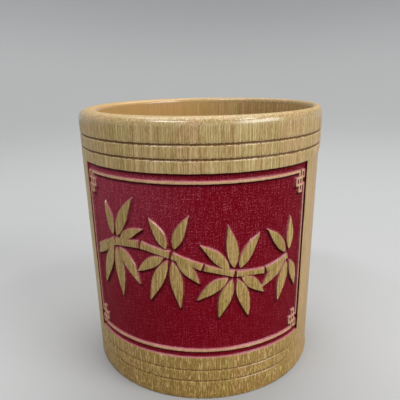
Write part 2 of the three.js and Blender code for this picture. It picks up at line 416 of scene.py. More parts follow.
def thin_out(points, slack):
    """Drops the points of an open line that lie within slack of it."""
    keep = np.zeros(len(points), bool)
    keep[[0, -1]] = True
    spans = [(0, len(points) - 1)]
    while spans:
        first, last = spans.pop()
        if last - first < 2:
            continue
        chord = points[last] - points[first]
        length = max(np.hypot(*chord), 1e-9)
        offset = points[first + 1 : last] - points[first]
        off = np.abs(offset[:, 0] * chord[1] - offset[:, 1] * chord[0]) / length
        worst = int(np.argmax(off))
        if off[worst] > slack:
            middle = first + 1 + worst
            keep[middle] = True
            spans += [(first, middle), (middle, last)]
    return points[keep]


LOOP_SLACK = 0.006
LOOP_STEP = 1.2
SHORTEST_LOOP = 8
FILLER_CLEARANCE = 0.22


def tidy_loop(loop):
    """Fewer points on a closed loop, but never further apart than the wall's curve allows."""
    half = len(loop) // 2
    first = thin_out(loop[: half + 1], LOOP_SLACK)
    second = thin_out(np.concatenate([loop[half:], loop[:1]]), LOOP_SLACK)
    corners = np.concatenate([first[:-1], second])
    points = []
    for start, end in zip(corners, corners[1:]):
        count = max(1, math.ceil(np.hypot(*(end - start)) / LOOP_STEP))
        for i in range(count):
            points.append(start + (end - start) * i / count)
    return np.array(points)


def sample(sheet, values, points):
    """Values of a grid at points, by straight interpolation."""
    fx = np.clip((points[:, 0] - sheet.x[0]) / CELL, 0, len(sheet.x) - 1.001)
    fy = np.clip((points[:, 1] - sheet.y[0]) / CELL, 0, len(sheet.y) - 1.001)
    i, j = fx.astype(int), fy.astype(int)
    a, b = fx - i, fy - j
    low = values[i, j] * (1 - a) + values[i + 1, j] * a
    high = values[i, j + 1] * (1 - a) + values[i + 1, j + 1] * a
    return low * (1 - b) + high * b


def panel_grid(spacing):
    """Points spread evenly over the panel."""
    x = np.arange(-PANEL_HALF_WIDTH + spacing / 2, PANEL_HALF_WIDTH, spacing)
    y = np.arange(-PANEL_HALF_HEIGHT + spacing / 2, PANEL_HALF_HEIGHT, spacing)
    x, y = np.meshgrid(x, y, indexing="ij")
    return np.stack([x.ravel(), y.ravel()], axis=1)


def triangulate(sheet, distance, profile, rim, filler):
    """Triangles over the panel with an edge along every level in profile.

    profile lists (distance, height). rim is a closed outline that the sheet ends at, with no
    points if the sheet has none. filler points that are not too near a level are used as well.
    Returns the points, their heights, the triangles and, for each point, the numbers of the given
    points that it came from, which start with the rim's."""
    levels, heights = np.transpose(sorted(profile))

    def height_at(spots):
        return np.interp(sample(sheet, distance, spots), levels, heights)

    clear = np.abs(sample(sheet, distance, filler)[:, None] - levels).min(1) > FILLER_CLEARANCE
    filler = filler[clear]
    points = [rim]
    point_heights = [np.zeros(len(rim))]
    edges = [(i, (i + 1) % len(rim)) for i in range(len(rim))]
    count = len(rim)
    for level, height in profile:
        for loop in level_loops(sheet, distance, level):
            if len(loop) < SHORTEST_LOOP:
                continue
            loop = tidy_loop(loop)
            edges += [(count + i, count + (i + 1) % len(loop)) for i in range(len(loop))]
            points.append(loop)
            point_heights.append(np.full(len(loop), height))
            count += len(loop)
    points.append(filler)
    point_heights.append(height_at(filler))
    points = np.concatenate(points)
    known = np.concatenate(point_heights)
    made, _, faces, origins, _, _ = delaunay_2d_cdt(
        [Vector(p) for p in points], edges, [], 0, 1e-5, True
    )
    made = np.array([tuple(p) for p in made])
    made_heights = height_at(made)
    for i, source in enumerate(origins):
        if source:
            made_heights[i] = known[source[0]]
    return made, made_heights, np.array([tuple(f) for f in faces]), origins


# ---------------------------------------------------------------- meshes

SHARP_ANGLE = math.radians(50)


def new_mesh(name, points, faces, **values):
    """A smooth-shaded object from points in millimetres, with a value per point for its material."""
    mesh = bpy.data.meshes.new(name)
    mesh.from_pydata((np.asarray(points) * MM).tolist(), [], [tuple(map(int, f)) for f in faces])
    for key, value in values.items():
        layer = mesh.attributes.new(key, "FLOAT", "POINT")
        layer.data.foreach_set("value", np.asarray(value, np.float32))
    mesh.validate()
    mesh.shade_smooth()
    mesh.set_sharp_from_angle(angle=SHARP_ANGLE)
    made = bpy.data.objects.new(name, mesh)
    bpy.context.scene.collection.objects.link(made)
    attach(made, "root")
    return made


PATCH_COLUMNS = 100
BACK_COLUMNS = 124
CULM_FILLER_STEP = 1.1
LACQUER_FILLER_STEP = 0.55
PATCH_ROWS = 50
BORE_ROWS = 16
RIM_STEPS = 10
GROOVE_ROWS = np.linspace(-1.15, 1.15, 13)  # in half widths of the groove
FOOT_POINTS = 2  # points of the wall's outline before its rows up the outside


def column_headings():
    """Headings of the wall's columns: the carved patch first, then on round the back."""
    half = (PANEL_HALF_WIDTH + PATCH_MARGIN) / PANEL_RADIUS
    front = np.linspace(-half, half, PATCH_COLUMNS + 1)
    back = np.linspace(half, 2 * math.pi - half, BACK_COLUMNS + 1)[1:-1]
    return np.concatenate([front, back])


def spread(low, high, step):
    """Evenly spaced heights from low to high, about a step apart."""
    return list(np.linspace(low, high, max(1, round((high - low) / step)) + 1))


def outer_rows():
    """Heights of the rows up the outside: close together in the grooves, and clear of them
    between. Also the heights of the lowest and highest row of the carved patch."""
    first, second, third, fourth = (middle for middle, _, _ in GROOVES)
    patch_low = PANEL_BOTTOM - PATCH_MARGIN
    patch_high = PANEL_TOP + PATCH_MARGIN
    rows = spread(FOOT_CHAMFER, first - 1.2, 1.2)
    for middle, half_width, _ in GROOVES:
        rows += [middle + half_width * t for t in GROOVE_ROWS]
    rows += spread(first + 1.3, second - 1.3, 1)
    rows += spread(second + 1.3, patch_low, 1)
    rows += list(np.linspace(patch_low, patch_high, PATCH_ROWS + 1))[1:]
    rows += spread(patch_high, third - 1.3, 1)[1:]
    rows += spread(third + 1.4, fourth - 1.4, 1)
    rows += spread(fourth + 1.4, HEIGHT - RIM_OUTER_HEIGHT, 1)[:-1]
    return np.array(sorted(rows)), patch_low, patch_high


def culm_section(heading, rows):
    """The wall's closed outline on one heading: up the outside, over the rim and down the bore."""
    inset = FOOT_CHAMFER * FOOT_ROUNDING
    section = [(taper_radius(0) - FOOT_CHAMFER, 0), (taper_radius(0) - inset, inset)]
    section += list(zip(skin_radius(heading, rows), rows))
    rim_outer = HEIGHT - RIM_OUTER_HEIGHT
    rim_inner = HEIGHT - RIM_INNER_HEIGHT
    outside = taper_radius(rim_outer)
    inside = bore_radius(heading, rim_inner)
    outer_share = RIM_OUTER_SHARE * (outside - inside)
    inner_share = RIM_INNER_SHARE * (outside - inside)
    turns = np.linspace(0, math.pi / 2, RIM_STEPS + 1)
    for turn in turns:
        radius = outside - outer_share * (1 - math.cos(turn))
        section.append((radius, rim_outer + RIM_OUTER_HEIGHT * math.sin(turn)))
    for turn in turns:
        radius = inside + inner_share * (1 - math.sin(turn))
        section.append((radius, rim_inner + RIM_INNER_HEIGHT * math.cos(turn)))
    for z in np.linspace(rim_inner, REBATE_DEPTH, BORE_ROWS + 1)[1:]:
        section.append((bore_radius(heading, z), z))
    section += [
        (REBATE_RADIUS, REBATE_DEPTH),
        (REBATE_RADIUS, FIT_GAP),
        (REBATE_RADIUS + FIT_GAP, 0),
    ]
    return section


# A cut side of the wall: distance from the carved edge, and height above the skin.
CULM_PROFILE = [
    (0.12, 0.0),
    (0.05, -0.03),
    (0.0, -0.12),
    (-0.15, -0.45),
    (-0.28, -0.74),
    (-0.4, -0.98),
]


def to_wall(points, heights):
    """Panel points and heights above the skin, as points in space."""
    heading = points[:, 0] / PANEL_RADIUS
    z = PANEL_MIDDLE + points[:, 1]
    return around(heading, skin_radius(heading, z) + heights, z)


SKIN_THICKNESS = 2.0  # points no deeper than this are on the outside
ISLAND_INSET = 5.0
BORDER_INSET = 0.5
BLUSH_FADE = (SIDE_INSET + 0.8, SIDE_INSET + 1.8)


def culm_traits(points):
    """What the wall's material is told at each point: how deep the groove is, how much the flat
    side is skimmed, and whether it is on the motif, the border line or the border's two sides."""
    heading = np.arctan2(points[:, 0], -points[:, 1])
    z = points[:, 2]
    outside = np.hypot(points[:, 0], points[:, 1]) > taper_radius(z) - SKIN_THICKNESS
    flat_cut = flat_depth(heading, z) * outside
    cut = np.clip(groove_depth(z) - flat_cut, 0, None) * outside
    inset_x = PANEL_HALF_WIDTH - np.abs(heading * PANEL_RADIUS)
    inset_y = PANEL_HALF_HEIGHT - np.abs(z - PANEL_MIDDLE)
    island = (np.minimum(inset_x, inset_y / 2) > ISLAND_INSET) * outside
    border = (np.minimum(inset_x, inset_y) > BORDER_INSET) * outside * (1 - island)
    return {
        "cut": cut / DEEPEST_GROOVE,
        "smooth": flat_cut / FLAT_DEPTH,
        "island": island,
        "border": border,
        "blush": border * np.interp(inset_x, BLUSH_FADE, (1, 0)),
    }


def make_culm(sheet, distance):
    """The wall: rows and columns all round, with the carved panel let into them."""
    headings = column_headings()
    rows, patch_low, patch_high = outer_rows()
    grid = np.array([culm_section(heading, rows) for heading in headings])
    columns, count = grid.shape[:2]
    points = around(headings[:, None], grid[..., 0], grid[..., 1]).reshape(-1, 3)
    low = FOOT_POINTS + int(np.argmin(np.abs(rows - patch_low)))
    high = FOOT_POINTS + int(np.argmin(np.abs(rows - patch_high)))
    faces = []
    for j in range(columns):
        after = (j + 1) % columns
        for i in range(count):
            if j < PATCH_COLUMNS and low <= i < high:
                continue
            up = (i + 1) % count
            faces.append((j * count + i, after * count + i, after * count + up, j * count + up))

    rim = [(j, low) for j in range(PATCH_COLUMNS)]
    rim += [(PATCH_COLUMNS, i) for i in range(low, high)]
    rim += [(j, high) for j in range(PATCH_COLUMNS, 0, -1)]
    rim += [(0, i) for i in range(high, low, -1)]
    outline = [(headings[j] * PANEL_RADIUS, grid[j, i, 1] - PANEL_MIDDLE) for j, i in rim]
    filler = panel_grid(CULM_FILLER_STEP)
    made, heights, triangles, origins = triangulate(
        sheet, distance, CULM_PROFILE, np.array(outline), filler
    )
    index = np.zeros(len(made), int)
    extra = []
    for i, source in enumerate(origins):
        on_rim = [s for s in source if s < len(rim)]
        if on_rim:
            j, row = rim[on_rim[0]]
            index[i] = j * count + row
        else:
            index[i] = len(points) + len(extra)
            extra.append(i)
    points = np.concatenate([points, to_wall(made[extra], heights[extra])])
    faces += [tuple(index[t]) for t in triangles]
    return new_mesh("turned_culm", points, faces, **culm_traits(points))


# The front and the back of the lacquer down a cut side, listed in the same way.
LACQUER_PROFILE = [
    (-0.004, -0.125),
    (-0.14, -0.37),
    (-0.27, -0.6),
    (-0.38, -0.74),
    (-0.56, -GROUND_DEPTH),
]
LACQUER_BACK = [(-0.4, -0.93), (-0.28, -0.69), (-0.15, -0.42), (-0.004, -0.129)]
THINNEST_COAT = 0.004

WEAVE_DEPTH = 0.008
PASS_PITCH = 1.13
FIBRE_PITCH = 1.31


def weave(points):
    """The faint cloth-like unevenness that the cutter and the fibres leave in the ground. Each
    set of marks strays slowly to and fro."""
    x, y = points[:, 0], points[:, 1]
    passes = np.sin(2 * np.pi * y / PASS_PITCH + 0.6 * np.sin(x / 7.3))
    fibres = np.sin(2 * np.pi * x / FIBRE_PITCH + 0.8 * np.sin(y / 11.7))
    return WEAVE_DEPTH * passes + WEAVE_DEPTH * fibres


# Distances from a carved edge, and from a side of the panel, over which the paint's gloss, painted
# shade and painted highlight change.
SLOPE_FADE = (-0.6, -0.38)
EDGE_SHADE_FADE = (-1.3, -0.56)
HIGHLIGHT_FADE = (-0.34, -0.12)
SIDE_SHADE_FADE = (0.2, 0.9)
SIDE_CLEAR_FADE = (0.5, 1.2)
LEFT_SIDE_SHADE = 0.35  # how much of the painted shade along the panel's sides the left side keeps


def lacquer_traits(sheet, distance, points):
    """What the lacquer's material is told at each point: how much it shines on a cut side, the
    painted shade below a raised edge and along the panel's sides, and the painted highlight above
    one."""
    gap = sample(sheet, distance, points)
    under = sample(sheet, np.gradient(distance, CELL, axis=1), points)
    side_gap = PANEL_HALF_WIDTH - np.abs(points[:, 0])
    clear = np.interp(side_gap, SIDE_CLEAR_FADE, (0, 1))
    slope = np.interp(gap, SLOPE_FADE, (0, 1)) * np.clip(0.6 - under, 0, 1)
    # Painted shade below a raised edge, where its shadow falls.
    painted_shade = np.interp(gap, EDGE_SHADE_FADE, (0, 1)) * np.clip(0.1 + 1.2 * under, 0, 1)
    # Painted highlight: paler pink on the cut side above a raised edge, which faces up into the
    # light.
    painted_highlight = np.interp(gap, HIGHLIGHT_FADE, (0, 1)) * np.clip(0.15 - under, 0, 1)
    # Painted shade along the panel's sides, lighter on the left.
    side_painted_shade = np.interp(side_gap, SIDE_SHADE_FADE, (1, 0))
    side_painted_shade *= np.where(points[:, 0] < 0, LEFT_SIDE_SHADE, 1.0)
    return {"slope": slope * clear, "painted_shade": np.maximum(painted_shade, side_painted_shade), "painted_highlight": painted_highlight * clear}


def connected_parts(triangles, count):
    """For each triangle, a number that it shares with all the triangles it is connected to."""
    parent = list(range(count))

    def root(i):
        while parent[i] != i:
            parent[i] = parent[parent[i]]
            i = parent[i]
        return i

    for a, b, c in triangles:
        parent[root(a)] = root(b)
        parent[root(b)] = root(c)
    return np.array([root(int(t[0])) for t in triangles])


def coat_mesh(name, triangles, front, back, traits):
    """A closed coat: the triangles on the front points, again on the back, and walls between."""
    used, local = np.unique(triangles, return_inverse=True)
    local = local.reshape(triangles.shape)
    sides = [pair for a, b, c in local for pair in ((a, b), (b, c), (c, a))]
    known = set(sides)
    open_sides = [(a, b) for a, b in sides if (b, a) not in known]
    n = len(used)
    faces = [tuple(t) for t in local]
    faces += [(c + n, b + n, a + n) for a, b, c in local]
    faces += [(b, a, a + n, b + n) for a, b in open_sides]
    traits = {key: np.tile(value[used], 2) for key, value in traits.items()}
    return new_mesh(name, np.concatenate([front[used], back[used]]), faces, **traits)


def make_lacquer(sheet, distance):
    """Coats on the ground: the field inside the border line, and all the rest."""
    edge, ground = LACQUER_PROFILE[0][0], LACQUER_PROFILE[-1][0]
    filler = panel_grid(LACQUER_FILLER_STEP)
    filler = filler[sample(sheet, distance, filler) < ground]
    no_rim = np.zeros((0, 2))
    made, heights, triangles, _ = triangulate(sheet, distance, LACQUER_PROFILE, no_rim, filler)
    triangles = triangles[sample(sheet, distance, made[triangles].mean(1)) < edge]
    on_ground = heights <= -GROUND_DEPTH + 1e-6
    heights = heights + np.where(on_ground, weave(made), 0)
    backs = np.interp(sample(sheet, distance, made), *np.transpose(LACQUER_BACK))
    backs = np.minimum(backs, heights - THINNEST_COAT)
    front = to_wall(made, heights)
    back = to_wall(made, backs)
    traits = lacquer_traits(sheet, distance, made)
    part = connected_parts(triangles, len(made))
    field = part == np.bincount(part).argmax()
    return (
        coat_mesh("field_coat", triangles[field], front, back, traits),
        coat_mesh("margin_coat", triangles[~field], front, back, traits),
    )


TURNED_SECTORS = 96


def turned(section, open_start=False):
    """Points and faces of a section of (radius, z) turned round the axis. Its outside is on the
    right of its course. Each end is closed by a fan, except a start that is left open."""
    radii, heights = np.transpose(section)
    count = len(section)
    headings = 2 * np.pi * np.arange(TURNED_SECTORS)[:, None] / TURNED_SECTORS
    heights_all_round = np.broadcast_to(heights, (TURNED_SECTORS, count))
    points = around(headings, radii[None, :], heights_all_round).reshape(-1, 3)
    end_centre = len(points)
    centres = [(0, 0, heights[-1])]
    if not open_start:
        centres.append((0, 0, heights[0]))
    faces = []
    for sector in range(TURNED_SECTORS):
        here = sector * count
        after = (sector + 1) % TURNED_SECTORS * count
        for i in range(count - 1):
            faces.append((here + i, after + i, after + i + 1, here + i + 1))
        faces.append((end_centre, here + count - 1, after + count - 1))
        if not open_start:
            faces.append((end_centre + 1, after, here))
    return np.concatenate([points, centres]), faces


BOARD_EASE = 0.5
BOARD_RINGS = (0.2, 0.4, 0.6, 0.8, 0.95)  # as shares of the board's radius


def make_board():
    """The floor board: a disc with eased edges."""
    radius = DISC_HIGH.x
    section = [(radius * share, DISC_LOW.z) for share in BOARD_RINGS]
    for middle, turns in (
        (DISC_LOW.z + BOARD_EASE, np.linspace(-math.pi / 2, 0, 5)),
        (DISC_HIGH.z - BOARD_EASE, np.linspace(0, math.pi / 2, 5)),
    ):
        for turn in turns:
            across = radius - BOARD_EASE + BOARD_EASE * math.cos(turn)
            section.append((across, middle + BOARD_EASE * math.sin(turn)))
    section += [(radius * share, DISC_HIGH.z) for share in reversed(BOARD_RINGS)]
    return new_mesh("floor_board", *turned(section))


# ---------------------------------------------------------------- materials


class Graph:
    """A material and short calls that add nodes to it."""

    def __init__(self, name):
        self.material = bpy.data.materials.new(name)
        self.material.use_nodes = True
        self.tree = self.material.node_tree
        self.shader = self.tree.nodes["Principled BSDF"]

    def add(self, kind, inputs=(), **settings):
        node = self.tree.nodes.new(kind)
        for name, value in settings.items():
            setattr(node, name, value)
        for key, value in dict(inputs).items():
            self.put(node.inputs[key], value)
        return node

    def put(self, socket, value):
        if isinstance(value, bpy.types.NodeSocket):
            self.tree.links.new(value, socket)
        else:
            socket.default_value = value

    def math(self, operation, *values, clamp=False):
        node = self.add("ShaderNodeMath", operation=operation, use_clamp=clamp)
        for socket, value in zip(node.inputs, values):
            self.put(socket, value)
        return node.outputs[0]

    def vector(self, operation, first, second):
        node = self.add("ShaderNodeVectorMath", operation=operation)
        self.put(node.inputs[0], first)
        self.put(node.inputs[1], second)
        return node.outputs[0]

    def combined(self, x, y, z):
        return self.add("ShaderNodeCombineXYZ", {"X": x, "Y": y, "Z": z}).outputs[0]

    def stored(self, name):
        """A value stored on the points of the mesh."""
        return self.add("ShaderNodeAttribute", attribute_name=name).outputs["Fac"]

    def red(self, colour):
        """The red part of a colour, which is also the value of a grey."""
        return self.add("ShaderNodeSeparateColor", {"Color": colour}).outputs[0]

    def varied(self, value, by, amount):
        """A value made higher where by is above a half, and lower where it is below."""
        return self.math("MULTIPLY_ADD", self.math("SUBTRACT", by, 0.5), amount, value)

    def band(self, value, low, high, to_low=0.0, to_high=1.0):
        """Goes smoothly from to_low to to_high as value goes from low to high."""
        inputs = {"Value": value, "From Min": low, "From Max": high}
        inputs.update({"To Min": to_low, "To Max": to_high})
        node = self.add("ShaderNodeMapRange", inputs, interpolation_type="SMOOTHSTEP")
        return node.outputs["Result"]

    def noise(self, place, stretch, detail=1.0, roughness=0.5, output="Fac"):
        inputs = {"Vector": self.vector("MULTIPLY", place, stretch), "Scale": 1.0}
        inputs.update({"Detail": detail, "Roughness": roughness})
        return self.add("ShaderNodeTexNoise", inputs).outputs[output]

    def cells(self, place, stretch, randomness=1.0):
        """Outputs of a pattern of cells: Distance from a cell's middle, and its own Color."""
        inputs = {"Vector": self.vector("MULTIPLY", place, stretch), "Scale": 1.0}
        inputs["Randomness"] = randomness
        return self.add("ShaderNodeTexVoronoi", inputs).outputs

    def mix(self, share, low, high, blend="MIX"):
        node = self.add("ShaderNodeMix", data_type="RGBA", blend_type=blend)
        self.put(node.inputs[0], share)
        self.put(node.inputs[6], low)
        self.put(node.inputs[7], high)
        return node.outputs[2]

    def bump(self, height, distance, strength):
        inputs = {"Height": height, "Distance": distance, "Strength": strength}
        return self.add("ShaderNodeBump", inputs).outputs["Normal"]


def colour(red, green, blue):
    """A screen colour from 0 to 255, as the linear value that nodes take."""
    linear = []
    for value in (red, green, blue):
        value /= 255
        linear.append(value / 12.92 if value <= 0.04045 else ((value + 0.055) / 1.055) ** 2.4)
    return (*linear, 1.0)


BAMBOO_PALE_OLIVE = colour(202, 177, 112)
BAMBOO_PALE_ROSY = colour(216, 177, 122)
BAMBOO_DARK = colour(146, 112, 54)
BAMBOO_BORE_SHADE = colour(176, 132, 70)
BAMBOO_BORDER = colour(206, 158, 132)
BAMBOO_BLUSH = colour(172, 104, 102)
BAMBOO_GROOVE = colour(92, 56, 20)
# Painted highlight for the lips of the upper grooves.
BAMBOO_LIP_GLINT = colour(236, 220, 184)
LACQUER_DEEP = colour(106, 2, 18)
LACQUER_MAIN = colour(116, 2, 23)
LACQUER_WORN = colour(150, 62, 78)
# Painted shade for the lacquer below raised edges and along the panel's sides.
LACQUER_EDGE_SHADE = colour(48, 0, 4)
# Painted highlight for the lacquer's upward-facing cut sides.
LACQUER_HIGHLIGHT = colour(200, 120, 127)
# Painted sheen of light for the lacquer's upper left.
LACQUER_SHEEN = colour(207, 110, 134)
BOARD_DARK = colour(160, 128, 76)
BOARD_PALE = colour(196, 168, 116)
MIDDLE_GREY = (0.5, 0.5, 0.5, 1.0)

# Tints, which multiply a colour.
# Painted light on the bamboo: shade that darkens it towards the foot, haze that pales it towards the
# rim.
FOOT_PAINTED_SHADE_TINT = (0.84, 0.84, 0.7, 1.0)
RIM_PAINTED_HAZE_TINT = (0.95, 1.04, 1.32, 1.0)
MOTIF_TINT = (0.82, 0.8, 0.62, 1.0)
FLAT_TINT = (0.91, 0.86, 0.83, 1.0)
# Painted shade: the lacquer a little darker to the right.
LACQUER_RIGHT_SHADE = (0.84, 0.7, 0.75, 1.0)

# Heights and radii, in millimetres, over which the bamboo changes.
FOOT_SWAY = (3.0, 26.0)
FOOT_WISPS = (14.0, 40.0)
GRAIN_FADE = (20.0, 80.0)
PAINTED_LIGHT_HEIGHTS = (-25.0, 105.0)
GLINTING_GROOVES = (70.0, 90.0)
GLOSSY_SHOULDER = (102.5, 105.0)
CUT_FIBRES = (104.6, 106.0)
DULL_TOP = (106.5, 107.3)
BORE_TO_SKIN = (43.5, 46.0)


def position_mm(graph):
    """Place on the pot in millimetres, and its x, y and z."""
    place = graph.add("ShaderNodeTexCoord").outputs["Object"]
    place = graph.vector("MULTIPLY", place, (1 / MM, 1 / MM, 1 / MM))
    split = graph.add("ShaderNodeSeparateXYZ", {"Vector": place})
    return place, split.outputs


def swaying(g, place, z):
    """Place moved sideways a little, so that fibres drawn straight up it sway near the foot."""
    low = g.band(z, *FOOT_SWAY, 1.0, 0.04)
    sway = g.noise(place, (0.3, 0.3, 0.11), detail=2.0, output="Color")
    sway = g.vector("SUBTRACT", sway, (0.5, 0.5, 0.5))
    sway = g.vector("MULTIPLY", sway, g.combined(low, low, 0.0))
    return g.vector("ADD", place, g.vector("MULTIPLY", sway, (3.0, 3.0, 0.0)))


def bamboo_material():
    """Upright fibres: streaks on the wall, and dots where the rim cuts across them."""
    g = Graph("lacquered_bamboo")
    place, (x, y, z) = position_mm(g)
    radius = g.math("SQRT", g.math("ADD", g.math("MULTIPLY", x, x), g.math("MULTIPLY", y, y)))
    inside = g.band(radius, *BORE_TO_SKIN, 1.0, 0.0)
    smooth = g.stored("smooth")

    # How pale the fibres are, from a few sizes of bundle, line and streak.
    grain = swaying(g, place, z)
    bundles = g.cells(grain, (1.5, 1.5, 0.03), 0.85)
    core = g.band(bundles["Distance"], 0.12, 0.6, 1.0, 0.0)
    fine = g.noise(grain, (2.8, 2.8, 0.7))
    lines = g.noise(grain, (3.3, 3.3, 0.018), roughness=0.6)
    streak = g.noise(grain, (0.7, 0.7, 0.015), roughness=0.6)
    wisp = g.band(g.cells(grain, (1.25, 1.25, 0.2))["Distance"], 0.1, 0.45, 1.0, 0.0)
    wisp = g.math("MULTIPLY", g.math("SUBTRACT", wisp, 0.35), g.band(z, *FOOT_WISPS, 0.85, 0.1))
    tone = g.varied(0.0, g.red(bundles["Color"]), 0.15)
    tone = g.varied(tone, core, 0.3)
    tone = g.varied(tone, fine, g.band(z, *GRAIN_FADE, 2.1, 0.9))
    tone = g.varied(tone, lines, g.band(z, *GRAIN_FADE, 2.3, 1.9))
    tone = g.varied(tone, streak, 0.25)
    tone = g.math("ADD", tone, wisp)
    dots = g.band(g.cells(place, (1.9, 1.9, 0.6))["Distance"], 0.15, 0.6, 0.35, -0.34)
    tone = g.red(g.mix(g.band(z, *CUT_FIBRES), tone, dots))
    tone = g.math("ADD", tone, 0.48, clamp=True)
    even = g.math("MAXIMUM", g.math("MULTIPLY", smooth, 0.6), g.math("MULTIPLY", inside, 0.5))
    tone = g.red(g.mix(even, tone, MIDDLE_GREY))

    # The wood's colour, with painted shade towards the foot and in the bore and a painted haze
    # towards the rim, then the motif, the border line and the flat side.
    broad = g.noise(place, (0.13, 0.13, 0.012), detail=2.0)
    pale = g.mix(g.band(broad, 0.35, 0.65), BAMBOO_PALE_OLIVE, BAMBOO_PALE_ROSY)
    wood = g.mix(tone, BAMBOO_DARK, pale)
    # Painted shade towards the foot and painted haze towards the rim.
    painted_light_tint = g.mix(g.band(z, *PAINTED_LIGHT_HEIGHTS), FOOT_PAINTED_SHADE_TINT, RIM_PAINTED_HAZE_TINT)
    wood = g.mix(1.0, wood, painted_light_tint, "MULTIPLY")
    # Painted shade in the bore: darker, more amber wood.
    wood = g.mix(g.math("MULTIPLY", inside, 0.6), wood, BAMBOO_BORE_SHADE)
    wood = g.mix(g.math("MULTIPLY", g.stored("island"), 0.8), wood, MOTIF_TINT, "MULTIPLY")
    wood = g.mix(g.math("MULTIPLY", g.stored("border"), 0.4), wood, BAMBOO_BORDER)
    wood = g.mix(g.math("MULTIPLY", g.stored("blush"), 0.75), wood, BAMBOO_BLUSH)
    wood = g.mix(smooth, wood, FLAT_TINT, "MULTIPLY")

    # A ragged dark colour in the grooves, partly staining and partly painted shade, and painted
    # highlights as pale specks along the lips of the upper two.
    cut = g.stored("cut")
    torn = g.noise(place, (1.3, 1.3, 1.3), detail=2.0, roughness=0.6)
    lip = g.math("MULTIPLY", g.band(cut, 0.02, 0.15), g.band(cut, 0.25, 0.5, 1.0, 0.0))
    # Painted highlights: pale specks broken along the lips.
    lip_glints = g.band(torn, 0.44, 0.54, 1.0, 0.0)
    lip_glints = g.math("MULTIPLY", lip_glints, g.band(z, *GLINTING_GROOVES, 0.0, 0.6))
    wood = g.mix(g.math("MULTIPLY", lip, lip_glints), wood, BAMBOO_LIP_GLINT)
    # Partly staining, partly painted shade, deepest in the grooves.
    stain_and_shade = g.band(g.varied(cut, torn, 1.8), 0.2, 0.75, 0.0, 0.88)
    g.put(g.shader.inputs["Base Color"], g.mix(stain_and_shade, wood, BAMBOO_GROOVE))

    # Clear varnish: glossy on the shoulder of the rim and the lips of the grooves.
    relief = g.math("MULTIPLY_ADD", core, 0.5, fine)
    shoulder = g.math("MULTIPLY", g.band(z, *GLOSSY_SHOULDER), g.band(z, *DULL_TOP, 1.0, 0.1))
    gloss = g.math("MAXIMUM", shoulder, g.math("MULTIPLY", lip, 0.6))
    g.put(g.shader.inputs["Normal"], g.bump(relief, 0.00004, 0.6))
    g.put(g.shader.inputs["Coat Normal"], g.bump(relief, 0.00002, 0.15))
    g.put(g.shader.inputs["Coat Weight"], g.math("MAXIMUM", gloss, 0.16))
    g.shader.inputs["Roughness"].default_value = 0.45
    g.shader.inputs["Specular IOR Level"].default_value = 0.15
    g.shader.inputs["Coat Roughness"].default_value = 0.2
    g.shader.inputs["Coat IOR"].default_value = 1.6
    return g.material


def lacquer_material():
    """Thin red paint over the cut fibres of the ground."""
    g = Graph("red_lacquer")
    _, (x, y, z) = position_mm(g)
    heading = g.math("ARCTAN2", x, g.math("MULTIPLY", y, -1.0))
    across = g.math("MULTIPLY", heading, PANEL_RADIUS)
    unrolled = g.combined(across, z, 0.0)

    # A cloth-like ground, deeper red in its hollows, with painted shade that makes it a little
    # darker to the right.
    passes = g.noise(unrolled, (0.2, 1.9, 1.0))
    fibres = g.noise(unrolled, (2.3, 0.15, 1.0))
    grains = g.noise(unrolled, (2.4, 1.9, 1.0))
    cloth = g.math("MULTIPLY_ADD", fibres, 0.35, g.math("MULTIPLY", grains, 0.75))
    cloth = g.math("MULTIPLY_ADD", passes, 0.2, cloth)
    base = g.mix(g.band(cloth, 0.5, 0.8), LACQUER_DEEP, LACQUER_MAIN)
    base = g.mix(g.band(across, 0.0, 38.0), base, LACQUER_RIGHT_SHADE, "MULTIPLY")

    # A painted sheen of light at the upper left, and worn specks, which show most in the painted
    # sheen.
    painted_sheen = g.band(across, -35.0, 10.0, 0.14, 0.0)
    painted_sheen = g.math("MULTIPLY", painted_sheen, g.band(z, 35.0, 88.0, 0.06, 1.0))
    worn = g.math("MULTIPLY", g.band(cloth, 0.66, 0.9), g.band(z, 25.0, 85.0, 0.7, 1.3))
    worn = g.math("MULTIPLY", worn, g.math("MULTIPLY_ADD", painted_sheen, 10.0, 1.0))
    tone = g.mix(painted_sheen, base, LACQUER_SHEEN)
    tone = g.mix(worn, tone, g.mix(painted_sheen, LACQUER_WORN, LACQUER_SHEEN))

    # Painted highlight: paler pink on the cut sides that face up.
    tone = g.mix(g.math("MULTIPLY", g.stored("painted_highlight"), 0.85), tone, LACQUER_HIGHLIGHT)
    # Painted shade: dark red below raised edges and along the panel's sides.
    tone = g.mix(g.math("MULTIPLY", g.stored("painted_shade"), 0.9), tone, LACQUER_EDGE_SHADE)
    g.put(g.shader.inputs["Base Color"], tone)
    g.put(g.shader.inputs["Normal"], g.bump(cloth, 0.00012, 0.8))
    g.put(g.shader.inputs["Coat Weight"], g.stored("slope"))
    g.shader.inputs["Roughness"].default_value = 0.5
    g.shader.inputs["Specular IOR Level"].default_value = 0.04
    g.shader.inputs["Coat Roughness"].default_value = 0.25
    return g.material


BOARD_STRIP = 18.0
BOARD_STRIP_SHIFT = 7.3


def board_material():
    """Strips of pale bamboo, side by side, each with its own grain."""
    g = Graph("bamboo_board")
    place, (_, y, _) = position_mm(g)
    strip = g.math("FLOOR", g.math("DIVIDE", y, BOARD_STRIP))
    shift = g.combined(g.math("MULTIPLY", strip, BOARD_STRIP_SHIFT), 0.0, strip)
    grain = g.noise(g.vector("ADD", place, shift), (0.02, 1.2, 1.2), detail=3.0, roughness=0.6)
    tone = g.mix(g.band(grain, 0.3, 0.7), BOARD_DARK, BOARD_PALE)
    g.put(g.shader.inputs["Base Color"], tone)
    g.put(g.shader.inputs["Normal"], g.bump(grain, 0.00003, 0.5))
    g.shader.inputs["Roughness"].default_value = 0.55
    return g.material


# ---------------------------------------------------------------- camera, stage and lights

